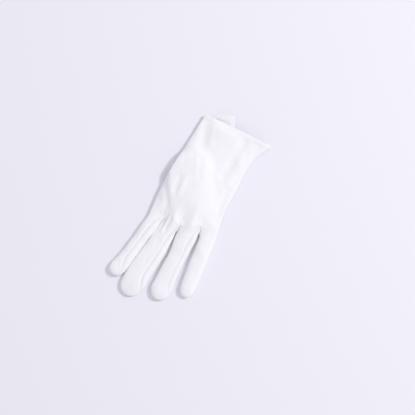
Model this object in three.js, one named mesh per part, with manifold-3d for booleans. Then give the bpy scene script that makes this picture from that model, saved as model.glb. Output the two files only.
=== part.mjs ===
// A white cotton dress glove for the left hand, lying flat on its palm with the thumb tucked under.
// Fingers point along -Y, the cuff is at +Y, the index finger is on the -X side, +Z is up.
// The cloth is one skin of quads, cut along the real seams into panels and given its thickness.

import * as THREE from "three";
import { mergeVertices } from "three/addons/utils/BufferGeometryUtils.js";
import Module from "manifold-3d";

const wasm = await Module();
wasm.setup();

// Driving dimensions, in millimetres and degrees
const CLOTH = 1.1;
const HEM_CLOTH = 1.8;
const SEAM_GAP = 0.44;
const SIDE_HEIGHT = 3.6;
const FINGER_RISE = 5.4;
const FINGER_TIP_SWEEP = 72;
const BACK_FLATNESS = 0.6;
const FINGER_FLATNESS = 0.8;
const FINGER_FULLNESS = 0.9;
const SOLE_FLATNESS = 0.55;
const SOLE_EDGE = 0.5;
const SIDE_EASE = { dips: 1.5, lift: 1.2 };

// Outline of the hand between the cuff and the finger bases, seen from above
const LEFT_OUTLINE = [
  { y: 112.4, x: -30.6 },
  { y: 90, x: -33.4 },
  { y: 66, x: -36.8 },
  { y: 43, x: -40.0 },
  { y: 21, x: -42.8 },
  { y: -3, x: -43.7 },
  { y: -23, x: -43.6 },
];
const RIGHT_OUTLINE = [
  { y: 107.2, x: 59.4 },
  { y: 96, x: 51.2 },
  { y: 83, x: 45.2 },
  { y: 66, x: 42.0 },
  { y: 40, x: 41.0 },
  { y: 22, x: 38.9 },
  { y: 3, x: 39.2 },
  { y: -12, x: 41.0 },
];

// How the loose cloth rises above the side seams, from the cuff (0) to the finger bases (1)
const BACK_RISE = [
  { along: 0, rise: 7.2 },
  { along: 0.25, rise: 7.2 },
  { along: 0.7, rise: 7.2 },
  { along: 1, rise: 5.8 },
];

// Forks between the fingers: the crotch, and where the back and palm panels' seams meet above it
const FORKS = [
  { x: -26.0, y: -29.1, backX: -24.8, backY: -21.0, palmX: -25.6, palmY: -23.5 },
  { x: -5.2, y: -32.2, backX: -3.2, backY: -23.5, palmX: -5.0, palmY: -26.0 },
  { x: 20.6, y: -20.8, backX: 19.0, backY: -14.5, palmX: 21.5, palmY: -15.0 },
];
const FORK_DIP = { back: 3.6, palm: 1.0, reach: 13, length: 34 };

// Where the lines that run up from the forks meet the cuff
const CUFF_POINTS = {
  back: [{ x: -11, y: 112.0 }, { x: 11, y: 110.9 }, { x: 36, y: 109.2 }],
  palm: [{ x: -14, y: 120.0 }, { x: 21, y: 109.7 }, { x: 40, y: 108.6 }],
};

// Fingers: base point, lean from -Y towards +X, length, tip radius, and the seam to the side strip
const FINGERS = [
  {
    name: "index", baseX: -34.8, baseY: -26.0, lean: -12.6, length: 84.5, tip: 11, seam: -0.2,
    sections: [
      { along: 0, shift: 0, half: 9.2 },
      { along: 28, shift: 0.6, half: 8.1 },
      { along: 52, shift: 0.4, half: 8.2 },
      { along: 73, shift: -0.6, half: 9.6 },
    ],
  },
  {
    name: "middle", baseX: -15.8, baseY: -30.7, lean: -8.4, length: 94.3, tip: 17, seam: 4.5,
    sections: [
      { along: 0, shift: 0, half: 10.4 },
      { along: 28, shift: 0.8, half: 13.0 },
      { along: 52, shift: 0, half: 13.8 },
      { along: 77, shift: -0.7, half: 14.2 },
    ],
  },
  {
    name: "ring", baseX: 7.6, baseY: -26.5, lean: -0.6, length: 88.0, tip: 14, seam: 3.9,
    sections: [
      { along: 0, shift: 0.3, half: 13.3 },
      { along: 28, shift: 0.9, half: 10.9 },
      { along: 52, shift: -0.2, half: 11.3 },
      { along: 70, shift: -0.6, half: 12.0 },
    ],
  },
  {
    name: "little", baseX: 30.8, baseY: -16.3, lean: 2.8, length: 83.0, tip: 13, seam: 9.0,
    sections: [
      { along: 0, shift: 0.1, half: 10.5 },
      { along: 16, shift: 1.4, half: 9.2 },
      { along: 40, shift: 0.2, half: 9.5 },
      { along: 66, shift: 0.1, half: 9.0 },
    ],
  },
];
const BASE_BLEND = { left: 14, right: 15 };
const SEAM_LIMIT = 0.93;

// Seams round a finger, as angles from its right-hand side over the back
const SEAM_ANGLE = {
  leftBack: 186, leftPalm: 226, leftEnd: 190, rightPalm: -14, rightEnd: 10, outerLeft: 183, outerRight: -4,
};

// The thumb, tucked under the palm: its heel, its lean, its mouth in the palm, and the lift it gives
const THUMB = {
  heelX: -27.0, heelY: 40.0, lean: 30, length: 50, half: 13.2, tipHalf: 11.6, height: 7.0,
  mouthLong: 13.5, mouthWide: 9.8, mouthShift: 2.5, clearance: 0.35,
  endWidth: 0.3, sideRoundness: 0.9, endRoundness: 0.35, flatness: 0.5,
};
const LIFT = { plateau: 1.8, palmReach: 13.5, backReach: 27, backShare: 0.78 };

// The vent in the palm at the wrist: where it ends, its far corner at the cuff, and the corner's curl
const VENT = {
  endX: 22, endY: 82, flapX: 3.4, flapY: 124.6, sideX: 21, sideY: 109.7,
  curl: 4.4, curlReach: 24,
};

// Soft folds pressed into the back: two ends, width, depth (a negative depth is a ridge)
const FOLDS = [
  { name: "thumb_crease", x0: -40, y0: 16, x1: -26, y1: -10, width: 5.5, depth: 1.3 },
  { name: "pinch_outer", x0: -26, y0: 12, x1: -27, y1: 30, width: 4.5, depth: 1.1 },
  { name: "pinch_ridge", x0: -20, y0: 10, x1: -20, y1: 30, width: 5, depth: -0.7 },
  { name: "mid_fold", x0: -12, y0: 58, x1: -5, y1: 38, width: 6, depth: 1.1 },
  { name: "wrist_fold", x0: 26, y0: 98, x1: 20, y1: 52, width: 8, depth: 1.3 },
  { name: "cuff_dent", x0: -24, y0: 104, x1: -18, y1: 72, width: 10, depth: 1.6 },
  { name: "edge_roll", x0: 46, y0: 100, x1: 34, y1: 40, width: 6, depth: 1.0 },
  { name: "side_dent", x0: 33, y0: 36, x1: 32, y1: 0, width: 8, depth: 1.2 },
  { name: "knuckle_fold", x0: 2, y0: 6, x1: -6, y1: -18, width: 5, depth: 0.9 },
];

// Mesh density of the skin
const HAND_ROWS = [0, 0.05, 0.056, 0.13, 0.22, 0.3, 0.38, 0.46, 0.54, 0.62, 0.7, 0.78, 0.85, 0.92, 1];
const HEM_ROWS = 2;
const VENT_ROW = 4;
const STRIP_COLUMNS = 6;
const SIDE_COLUMNS = 3;
const SHAFT_ROWS = 9;
const SHAFT_CROWDING = 1.5;
const TIP_ROWS = 4;
const TIP_CROWDING = 0.85;
const SIDE_STRIP_ROWS = SHAFT_ROWS + 2;
const THUMB_MESH = { rows: 13, columns: 16, mouthSegments: 7 };

const CLOTH_FINISH = new THREE.MeshStandardMaterial({ color: 0xf3f3f7, roughness: 0.93, metalness: 0 });
const radians = THREE.MathUtils.degToRad;
const mix = THREE.MathUtils.lerp;

// Value of one column of a table, read smoothly at a place given by another column
function readTable(table, place, key, at) {
  const rising = table[table.length - 1][place] > table[0][place];
  const rows = rising ? table : [...table].reverse();
  const inside = THREE.MathUtils.clamp(at, rows[0][place], rows[rows.length - 1][place]);
  let k = 0;
  while (k < rows.length - 2 && rows[k + 1][place] < inside) {
    k += 1;
  }
  const slope = (n) => {
    const low = rows[Math.max(n - 1, 0)];
    const high = rows[Math.min(n + 1, rows.length - 1)];
    return (high[key] - low[key]) / (high[place] - low[place]);
  };
  const span = rows[k + 1][place] - rows[k][place];
  const t = (inside - rows[k][place]) / span;
  const bend = t * t * (3 - 2 * t);
  const straight = mix(rows[k][key], rows[k + 1][key], bend);
  const pullLow = slope(k) * span * t * (1 - t) * (1 - t);
  const pullHigh = slope(k + 1) * span * t * t * (1 - t);
  return straight + pullLow - pullHigh;
}

// A hump of height 1 that falls smoothly to exactly 0 at distance 1
function hump(distance) {
  const inside = Math.max(0, 1 - distance * distance);
  return inside * inside;
}

function distanceToSegment(x, y, x0, y0, x1, y1) {
  const dx = x1 - x0;
  const dy = y1 - y0;
  const share = ((x - x0) * dx + (y - y0) * dy) / (dx * dx + dy * dy);
  const t = THREE.MathUtils.clamp(share, 0, 1);
  return Math.hypot(x - x0 - t * dx, y - y0 - t * dy);
}

// Height that the thumb below adds to the cloth above it
function thumbLift(x, y, reach) {
  const lean = radians(THUMB.lean);
  const tipX = THUMB.heelX + THUMB.length * Math.sin(lean);
  const tipY = THUMB.heelY - THUMB.length * Math.cos(lean);
  const outside = distanceToSegment(x, y, THUMB.heelX, THUMB.heelY, tipX, tipY) - THUMB.half;
  const fall = Math.max(0, outside - LIFT.plateau) / (reach - LIFT.plateau);
  return (THUMB.height + THUMB.clearance) * hump(Math.min(fall, 1));
}

function foldDepth(x, y) {
  let depth = 0;
  for (const fold of FOLDS) {
    const away = distanceToSegment(x, y, fold.x0, fold.y0, fold.x1, fold.y1);
    depth += fold.depth * hump(Math.min(away / fold.width, 1));
  }
  return depth;
}

// How far a point is inside the dip round a fork, from 0 to 1
function forkDip(x, y) {
  let dip = 0;
  for (const fork of FORKS) {
    const away = Math.abs(x - fork.backX) / FORK_DIP.reach;
    const above = Math.max(0, y - fork.backY) / FORK_DIP.length;
    dip = Math.max(dip, hump(Math.min(away, 1)) * hump(Math.min(above, 1)));
  }
  return dip;
}

// Curl of the vent's free corner off the surface
function ventCurl(x, y) {
  const away = Math.hypot(x - VENT.flapX, y - VENT.flapY) / VENT.curlReach;
  return VENT.curl * hump(Math.min(away, 1));
}

// The lines that divide the hand into four strips, at row position v from cuff to finger bases
function stripLine(face, index, v, side) {
  if (index === 0) {
    const y = mix(LEFT_OUTLINE[0].y, LEFT_OUTLINE[LEFT_OUTLINE.length - 1].y, v);
    return [readTable(LEFT_OUTLINE, "y", "x", y), y];
  }
  if (index === FORKS.length + 1) {
    const y = mix(RIGHT_OUTLINE[0].y, RIGHT_OUTLINE[RIGHT_OUTLINE.length - 1].y, v);
    return [readTable(RIGHT_OUTLINE, "y", "x", y), y];
  }
  const fork = FORKS[index - 1];
  const cuff = CUFF_POINTS[face][index - 1];
  const endX = fork[`${face}X`];
  const endY = fork[`${face}Y`];
  if (face === "palm" && index === 2) {
    const ventShare = HAND_ROWS[VENT_ROW];
    if (v < ventShare) {
      const t = v / ventShare;
      const startX = side === "left" ? VENT.flapX : VENT.sideX;
      const startY = side === "left" ? VENT.flapY : VENT.sideY;
      return [mix(startX, VENT.endX, t), mix(startY, VENT.endY, t)];
    }
    const t = (v - ventShare) / (1 - ventShare);
    return [mix(VENT.endX, endX, t), mix(VENT.endY, endY, t)];
  }
  return [mix(cuff.x, endX, v), mix(cuff.y, endY, v)];
}

// A point of the hand: column c of all strips together, on the back or the palm
function handPoint(face, v, column, side) {
  const lines = [0, 1, 2, 3, 4].map((k) => stripLine(face, k, v, side));
  const span = lines[4][0] - lines[0][0];
  const angleOf = (k) => {
    const share = (lines[k][0] - lines[0][0]) / span;
    return Math.acos(THREE.MathUtils.clamp(1 - 2 * share, -1, 1));
  };
  const strip = Math.min(Math.floor(column / STRIP_COLUMNS), 3);
  const angle = mix(angleOf(strip), angleOf(strip + 1), column / STRIP_COLUMNS - strip);
  const across = lines[0][0] + (span * (1 - Math.cos(angle))) / 2;
  const low = lines[strip];
  const high = lines[strip + 1];
  const y = mix(low[1], high[1], (across - low[0]) / (high[0] - low[0]));
  const bulge = Math.sin(angle);
  const lift = thumbLift(across, y, LIFT.palmReach);
  if (face === "back") {
    const rise = readTable(BACK_RISE, "along", "rise", v) * Math.pow(bulge, BACK_FLATNESS);
    const dips = FORK_DIP.back * forkDip(across, y) + foldDepth(across, y);
    const dip = dips * Math.min(1, bulge * SIDE_EASE.dips);
    const draped = LIFT.backShare * thumbLift(across, y, LIFT.backReach);
    return [across, y, SIDE_HEIGHT + rise - dip + mix(lift, draped, Math.min(1, bulge * SIDE_EASE.lift))];
  }
  const drop = SIDE_HEIGHT * Math.pow(Math.min(1, bulge / SOLE_EDGE), SOLE_FLATNESS);
  const raise = FORK_DIP.palm * forkDip(across, y) + (side === "left" ? ventCurl(across, y) : 0);
  return [across, y, SIDE_HEIGHT - drop + lift + raise * Math.min(1, bulge / SOLE_EDGE)];
}

// Half width, sideways shift and closing angle of a finger at a distance along it
function fingerSection(finger, row) {
  const shaft = finger.length - finger.tip;
  const closing = Math.max(0, row - SHAFT_ROWS) / TIP_ROWS;
  const sweep = radians(FINGER_TIP_SWEEP) * Math.pow(closing, TIP_CROWDING);
  const reach = Math.sin(sweep) / Math.sin(radians(FINGER_TIP_SWEEP));
  const step = Math.min(row / SHAFT_ROWS, 1);
  const along = shaft * Math.pow(step, SHAFT_CROWDING) + finger.tip * reach;
  return {
    along,
    shift: readTable(finger.sections, "along", "shift", along),
    half: readTable(finger.sections, "along", "half", along) * Math.cos(sweep),
    height: Math.cos((sweep * 90) / FINGER_TIP_SWEEP),
  };
}

// A point on the ring of cloth round a finger, at an angle from its right side over the back
function fingerPoint(finger, row, angle) {
  const section = fingerSection(finger, row);
  const lean = radians(finger.lean);
  const cosine = Math.cos(angle);
  const sine = Math.sin(angle);
  const spread = Math.sign(cosine) * Math.pow(Math.abs(cosine), FINGER_FULLNESS);
  const across = section.shift + section.half * spread;
  const x = finger.baseX + section.along * Math.sin(lean) + across * Math.cos(lean);
  const y = finger.baseY - section.along * Math.cos(lean) + across * Math.sin(lean);
  const drop = SIDE_HEIGHT * Math.pow(Math.min(1, -sine / SOLE_EDGE), SOLE_FLATNESS);
  const rise = sine > 0 ? FINGER_RISE * Math.pow(sine, FINGER_FLATNESS) : -drop;
  return [x, y, SIDE_HEIGHT + rise * section.height];
}

function seamAngles(finger, index, row) {
  const { half } = fingerSection(finger, row);
  const first = index === 0;
  const last = index === FINGERS.length - 1;
  const visible = Math.acos(THREE.MathUtils.clamp(finger.seam / half, -SEAM_LIMIT, SEAM_LIMIT));
  const taper = THREE.MathUtils.clamp((row - SHAFT_ROWS + 1) / (SIDE_STRIP_ROWS - SHAFT_ROWS + 1), 0, 1);
  const leftEnd = radians(first ? SEAM_ANGLE.outerLeft : SEAM_ANGLE.leftEnd);
  const rightEnd = radians(last ? SEAM_ANGLE.outerRight : SEAM_ANGLE.rightEnd);
  return {
    leftBack: first ? leftEnd : mix(radians(SEAM_ANGLE.leftBack), leftEnd, taper),
    leftPalm: first ? leftEnd : mix(radians(SEAM_ANGLE.leftPalm), leftEnd, taper),
    rightBack: last ? rightEnd : mix(visible, rightEnd, taper),
    rightPalm: last ? rightEnd : mix(radians(SEAM_ANGLE.rightPalm), rightEnd, taper),
  };
}

// The skin: shared vertices with a cloth thickness each, and faces sorted by the panel they belong to
const skin = { points: [], thickness: [], index: new Map(), faces: new Map() };

function vertex(key, makePoint, thickness = CLOTH) {
  if (!skin.index.has(key)) {
    skin.index.set(key, skin.points.length);
    skin.points.push(new THREE.Vector3(...makePoint()));
    skin.thickness.push(thickness);
  }
  return skin.index.get(key);
}

function addQuad(panel, a, b, c, d) {
  if (!skin.faces.has(panel)) {
    skin.faces.set(panel, []);
  }
  const list = skin.faces.get(panel);
  for (const triangle of [[a, b, c], [a, c, d]]) {
    if (new Set(triangle).size === 3) {
      list.push(triangle);
    }
  }
}

const LAST_COLUMN = STRIP_COLUMNS * 4;
const LAST_HAND_ROW = HAND_ROWS.length - 1;
const LAST_FINGER_ROW = SHAFT_ROWS + TIP_ROWS;

function handVertex(face, row, column, side = "left") {
  const edge = column === 0 || column === LAST_COLUMN;
  const slit = face === "palm" && row < VENT_ROW && column === 2 * STRIP_COLUMNS;
  const owner = edge ? "edge" : face;
  const key = `hand ${owner} ${row} ${column} ${slit ? side : ""}`;
  const part = column > 2 * STRIP_COLUMNS ? "right" : column < 2 * STRIP_COLUMNS ? "left" : side;
  const thickness = row < HEM_ROWS ? HEM_CLOTH : CLOTH;
  return vertex(key, () => handPoint(face, HAND_ROWS[row], column, part), thickness);
}

// Rows near the base ease from the hand's last row into the finger's own ring
function easeFromBase(finger, row, place, start, ring) {
  const blend = mix(BASE_BLEND.left, BASE_BLEND.right, place);
  const t = THREE.MathUtils.clamp(fingerSection(finger, row).along / blend, 0, 1);
  const share = t * t * (3 - 2 * t);
  return start.map((value, k) => mix(value, ring[k], share));
}

// A vertex of a finger's ring: place counts columns over the back, or under the palm
function fingerVertex(face, index, row, column) {
  if (row === 0) {
    return handVertex(face, LAST_HAND_ROW, index * STRIP_COLUMNS + column);
  }
  const finger = FINGERS[index];
  const edge = column === 0 || column === STRIP_COLUMNS;
  const outer = (index === 0 && column === 0) || (index === FINGERS.length - 1 && column === STRIP_COLUMNS);
  const closed = row === LAST_FINGER_ROW;
  const joined = edge && (outer || row >= SIDE_STRIP_ROWS);
  const owner = closed || joined ? "both" : face;
  return vertex(`finger ${index} ${owner} ${row} ${column}`, () => {
    const angles = seamAngles(finger, index, row);
    const t = column / STRIP_COLUMNS;
    const back = mix(angles.leftBack, angles.rightBack, t);
    const palm = mix(angles.leftPalm, angles.rightPalm + 2 * Math.PI, t);
    const flat = Math.acos(2 * t - 1);
    const angle = closed ? flat : face === "back" ? back : palm;
    const start = skin.points[handVertex(face, LAST_HAND_ROW, index * STRIP_COLUMNS + column)].toArray();
    return easeFromBase(finger, row, t, start, fingerPoint(finger, row, angle));
  });
}

// A vertex of a side strip: level 0 is the seam to the back, the last level the seam to the palm
function sideVertex(fork, index, row, level) {
  const column = index === fork ? STRIP_COLUMNS : 0;
  if (level === 0 || row === SIDE_STRIP_ROWS) {
    return fingerVertex("back", index, row, column);
  }
  if (level === SIDE_COLUMNS) {
    return fingerVertex("palm", index, row, column);
  }
  const crotch = FORKS[fork];
  const t = level / SIDE_COLUMNS;
  const top = skin.points[handVertex("back", LAST_HAND_ROW, (fork + 1) * STRIP_COLUMNS)];
  const bottom = skin.points[handVertex("palm", LAST_HAND_ROW, (fork + 1) * STRIP_COLUMNS)];
  const out = Math.sin(Math.PI * t);
  const start = [
    mix(mix(top.x, bottom.x, t), crotch.x, out),
    mix(mix(top.y, bottom.y, t), crotch.y, out),
    mix(top.z, bottom.z, t),
  ];
  if (row === 0) {
    return vertex(`crotch ${fork} ${level}`, () => start);
  }
  return vertex(`side ${fork} ${index} ${row} ${level}`, () => {
    const finger = FINGERS[index];
    const angles = seamAngles(finger, index, row);
    const onRight = index === fork;
    const from = onRight ? angles.rightBack : angles.leftBack;
    const to = onRight ? angles.rightPalm : angles.leftPalm;
    const angle = mix(from, to, t);
    return easeFromBase(finger, row, onRight ? 1 : 0, start, fingerPoint(finger, row, angle));
  });
}

function buildHand() {
  for (let row = 0; row < LAST_HAND_ROW; row += 1) {
    for (let column = 0; column < LAST_COLUMN; column += 1) {
      const near = column < 2 * STRIP_COLUMNS ? "left" : "right";
      const corners = (face) => [
        handVertex(face, row, column, near),
        handVertex(face, row + 1, column, near),
        handVertex(face, row + 1, column + 1, near),
        handVertex(face, row, column + 1, near),
      ];
      addQuad("back_panel", ...corners("back"));
      addQuad("palm_panel", ...corners("palm").reverse());
    }
  }
}

function buildFinger(index) {
  for (let row = 0; row < LAST_FINGER_ROW; row += 1) {
    for (let column = 0; column < STRIP_COLUMNS; column += 1) {
      const corners = (face) => [
        fingerVertex(face, index, row, column),
        fingerVertex(face, index, row + 1, column),
        fingerVertex(face, index, row + 1, column + 1),
        fingerVertex(face, index, row, column + 1),
      ];
      addQuad("back_panel", ...corners("back"));
      addQuad("palm_panel", ...corners("palm").reverse());
    }
  }
}

function buildSideStrip(fork) {
  const panel = `fourchette_${FINGERS[fork].name}_${FINGERS[fork + 1].name}`;
  for (const index of [fork, fork + 1]) {
    for (let row = 0; row < SIDE_STRIP_ROWS; row += 1) {
      for (let level = 0; level < SIDE_COLUMNS; level += 1) {
        const corners = [
          sideVertex(fork, index, row, level),
          sideVertex(fork, index, row + 1, level),
          sideVertex(fork, index, row + 1, level + 1),
          sideVertex(fork, index, row, level + 1),
        ];
        addQuad(panel, ...(index === fork ? corners : corners.reverse()));
      }
    }
  }
}

// Outward normal at every vertex of the whole skin, so that neighbouring panels share their seams
function skinNormals() {
  const normals = skin.points.map(() => new THREE.Vector3());
  for (const faces of skin.faces.values()) {
    for (const [a, b, c] of faces) {
      const first = new THREE.Vector3().subVectors(skin.points[b], skin.points[a]);
      const second = new THREE.Vector3().subVectors(skin.points[c], skin.points[a]);
      const area = first.cross(second);
      for (const corner of [a, b, c]) {
        normals[corner].add(area);
      }
    }
  }
  normals.forEach((normal) => normal.normalize());
  return normals;
}

// Directed edges of a panel that no second face of it uses
function borderEdges(faces) {
  const edges = new Map();
  for (const [a, b, c] of faces) {
    for (const [from, to] of [[a, b], [b, c], [c, a]]) {
      const twin = `${to} ${from}`;
      if (edges.has(twin)) {
        edges.delete(twin);
      } else {
        edges.set(`${from} ${to}`, [from, to]);
      }
    }
  }
  return [...edges.values()];
}

// A panel as a closed solid: its outer faces, the same faces one cloth inside, and its cut edges
function panelGeometry(faces, normals) {
  const border = borderEdges(faces);
  const pull = new Map();
  for (const [from, to] of border) {
    for (const end of [from, to]) {
      pull.set(end, new THREE.Vector3());
    }
  }
  for (const [a, b, c] of faces) {
    const face = new THREE.Triangle(skin.points[a], skin.points[b], skin.points[c]);
    const middle = face.getMidpoint(new THREE.Vector3());
    for (const corner of [a, b, c]) {
      if (pull.has(corner)) {
        pull.get(corner).add(middle).sub(skin.points[corner]);
      }
    }
  }
  for (const [corner, inward] of pull) {
    inward.projectOnPlane(normals[corner]).normalize().multiplyScalar(SEAM_GAP / 2);
  }
  const used = [...new Set(faces.flat())];
  const place = new Map(used.map((corner, k) => [corner, k]));
  const positions = [];
  for (const depth of [0, 1]) {
    for (const corner of used) {
      const point = skin.points[corner].clone().add(pull.get(corner) ?? new THREE.Vector3());
      point.addScaledVector(normals[corner], -depth * skin.thickness[corner]);
      positions.push(point.x, point.y, Math.max(0, point.z));
    }
  }
  const inner = used.length;
  const triangles = [];
  for (const [a, b, c] of faces) {
    triangles.push(place.get(a), place.get(b), place.get(c));
    triangles.push(inner + place.get(a), inner + place.get(c), inner + place.get(b));
  }
  for (const [from, to] of border) {
    const a = place.get(from);
    const b = place.get(to);
    if (from < to) {
      triangles.push(b, a, inner + b, a, inner + a, inner + b);
    } else {
      triangles.push(b, a, inner + a, b, inner + a, inner + b);
    }
  }
  const geometry = new THREE.BufferGeometry();
  geometry.setAttribute("position", new THREE.Float32BufferAttribute(positions, 3));
  geometry.setIndex(triangles);
  return geometry;
}

// Geometry to solid and back, for the few cuts that the skin needs
function toSolid(geometry) {
  const bare = geometry.clone();
  bare.deleteAttribute("normal");
  bare.deleteAttribute("uv");
  const merged = mergeVertices(bare, 1e-4);
  const vertProperties = new Float32Array(merged.attributes.position.array);
  const triVerts = new Uint32Array(merged.index.array);
  return new wasm.Manifold(new wasm.Mesh({ numProp: 3, vertProperties, triVerts }));
}

function fromSolid(solid) {
  const mesh = solid.getMesh();
  const geometry = new THREE.BufferGeometry();
  geometry.setAttribute("position", new THREE.Float32BufferAttribute(mesh.vertProperties, 3));
  geometry.setIndex([...mesh.triVerts]);
  return geometry;
}

// A closed flattened bag for the thumb, in from its outer face by the given amount
function thumbBag(inset) {
  const { rows, columns } = THUMB_MESH;
  const positions = [];
  const triangles = [];
  for (let row = 0; row <= rows; row += 1) {
    const turn = mix(-90, 90, row / rows);
    const sweep = radians(turn);
    const nearHeel = row <= rows / 2;
    const radius = (nearHeel ? THUMB.half : THUMB.tipHalf) - inset;
    const along = (nearHeel ? 0 : THUMB.length) + radius * Math.sin(sweep);
    const half = radius * Math.max(THUMB.endWidth, Math.pow(Math.cos(sweep), THUMB.sideRoundness));
    const closing = row === 0 || row === rows ? 0 : Math.pow(Math.cos(sweep), THUMB.endRoundness);
    for (let column = 0; column < columns; column += 1) {
      const angle = (2 * Math.PI * column) / columns;
      const middle = THUMB.height / 2;
      const thick = (middle - inset) * closing;
      const sine = Math.sin(angle);
      const flat = Math.sign(sine) * Math.pow(Math.abs(sine), THUMB.flatness);
      positions.push(half * Math.cos(angle), -along, middle + thick * flat);
    }
  }
  for (let row = 0; row < rows; row += 1) {
    for (let column = 0; column < columns; column += 1) {
      const next = (column + 1) % columns;
      const a = row * columns + column;
      const b = row * columns + next;
      const c = a + columns;
      const d = b + columns;
      triangles.push(a, b, d, a, d, c);
    }
  }
  const geometry = new THREE.BufferGeometry();
  geometry.setAttribute("position", new THREE.Float32BufferAttribute(positions, 3));
  geometry.setIndex(triangles);
  return geometry;
}

// The way from the palm into the thumb: an upright oval
function thumbMouth(bottom, top) {
  const oval = new THREE.Shape();
  oval.absellipse(0, -THUMB.mouthShift, THUMB.mouthWide, THUMB.mouthLong, 0, 2 * Math.PI);
  const geometry = new THREE.ExtrudeGeometry(oval, {
    depth: top - bottom,
    bevelEnabled: false,
    curveSegments: THUMB_MESH.mouthSegments,
  });
  geometry.translate(0, 0, bottom);
  return geometry;
}

function inThumbFrame(geometry) {
  geometry.rotateZ(radians(THUMB.lean));
  geometry.translate(THUMB.heelX, THUMB.heelY, 0);
  return geometry;
}

function named(name, geometry) {
  const faceted = geometry.toNonIndexed();
  faceted.computeVertexNormals();
  const mesh = new THREE.Mesh(mergeVertices(faceted, 1e-4), CLOTH_FINISH);
  mesh.name = name;
  return mesh;
}

buildHand();
FINGERS.forEach((finger, index) => buildFinger(index));
FORKS.forEach((fork, index) => buildSideStrip(index));

const glove = new THREE.Group();
const normals = skinNormals();
const mouth = toSolid(inThumbFrame(thumbMouth(THUMB.height / 2, THUMB.height * 3)));
for (const [name, faces] of skin.faces) {
  let geometry = panelGeometry(faces, normals);
  if (name === "palm_panel") {
    geometry = fromSolid(toSolid(geometry).subtract(mouth));
  }
  glove.add(named(name, geometry));
}
const thumbOuter = toSolid(inThumbFrame(thumbBag(0)));
const thumbInner = toSolid(inThumbFrame(thumbBag(CLOTH)));
glove.add(named("thumb", fromSolid(thumbOuter.subtract(thumbInner).subtract(mouth))));

// The origin is below the middle of the whole glove, on the surface it lies on
const box = new THREE.Box3().setFromObject(glove);
const centre = box.getCenter(new THREE.Vector3());
for (const mesh of glove.children) {
  mesh.geometry.translate(-centre.x, -centre.y, 0);
}

export default glove;
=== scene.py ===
"""A white cotton dress glove for the left hand, lying on its palm, with its seams, hem and stitches."""

import math

import bpy
import numpy as np
from bpy.props import FloatProperty, FloatVectorProperty, PointerProperty
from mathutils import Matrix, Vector


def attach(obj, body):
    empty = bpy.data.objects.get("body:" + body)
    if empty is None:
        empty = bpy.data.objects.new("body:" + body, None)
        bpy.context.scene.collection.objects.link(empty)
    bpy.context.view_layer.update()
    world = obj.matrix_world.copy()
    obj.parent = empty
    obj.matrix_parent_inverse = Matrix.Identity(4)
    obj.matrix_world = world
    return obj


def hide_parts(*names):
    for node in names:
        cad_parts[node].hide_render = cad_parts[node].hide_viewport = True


bl_info = {
    "name": "Cotton dress glove",
    "version": (1, 0, 0),
    "blender": (4, 5, 0),
    "location": "View3D > Sidebar > Glove",
    "description": "Builds the cloth, stitches and stage of a white cotton dress glove",
    "category": "Object",
}

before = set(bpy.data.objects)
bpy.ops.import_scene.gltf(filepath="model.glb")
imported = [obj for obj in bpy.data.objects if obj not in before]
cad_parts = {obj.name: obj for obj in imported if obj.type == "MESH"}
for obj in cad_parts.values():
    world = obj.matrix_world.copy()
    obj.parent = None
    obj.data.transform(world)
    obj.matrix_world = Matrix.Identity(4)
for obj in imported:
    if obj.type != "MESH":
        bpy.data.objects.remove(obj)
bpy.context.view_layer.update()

MM = 0.001
UV_PER_MM = 0.01
POINTS_PER_MM = 2000

# The glove's sizes, in millimetres on the table it lies on, fingers towards -Y and the cuff at +Y
SIDE_HEIGHT = 3.6
FINGER_RISE = 5.4
BACK_FLATNESS = 0.6
FINGER_FLATNESS = 0.8
FINGER_FULLNESS = 0.9
SOLE_FLATNESS = 0.55
SOLE_EDGE = 0.5
SIDE_EASE_DIPS = 1.5
SIDE_EASE_LIFT = 1.2
TABLE_TO_PART = np.array([0.890, 0.028, 0.0])

# The hand's two edges as (y, x), and the back's rise as (share from cuff to fingers, height)
LEFT_OUTLINE = [
    (112.4, -30.6), (90, -33.4), (66, -36.8), (43, -40.0), (21, -42.8), (-3, -43.7), (-23, -43.6),
]
RIGHT_OUTLINE = [
    (107.2, 59.4), (96, 51.2), (83, 45.2), (66, 42.0), (40, 41.0), (22, 38.9), (3, 39.2), (-12, 41.0),
]
BACK_RISE = [(0, 7.2), (0.25, 7.2), (0.7, 7.2), (1, 5.8)]

# Forks between the fingers: the crotch, and the upper ends of the seams on the back and on the palm
FORKS = [
    {"crotch": (-26.0, -29.1), "back": (-24.8, -21.0), "palm": (-25.6, -23.5)},
    {"crotch": (-5.2, -32.2), "back": (-3.2, -23.5), "palm": (-5.0, -26.0)},
    {"crotch": (20.6, -20.8), "back": (19.0, -14.5), "palm": (21.5, -15.0)},
]
FORK_DIP_BACK = 3.6
FORK_DIP_PALM = 1.0
FORK_DIP_REACH = 13
FORK_DIP_LENGTH = 34
CUFF_POINTS = {
    "back": [(-11, 112.0), (11, 110.9), (36, 109.2)],
    "palm": [(-14, 120.0), (21, 109.7), (40, 108.6)],
}

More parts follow.
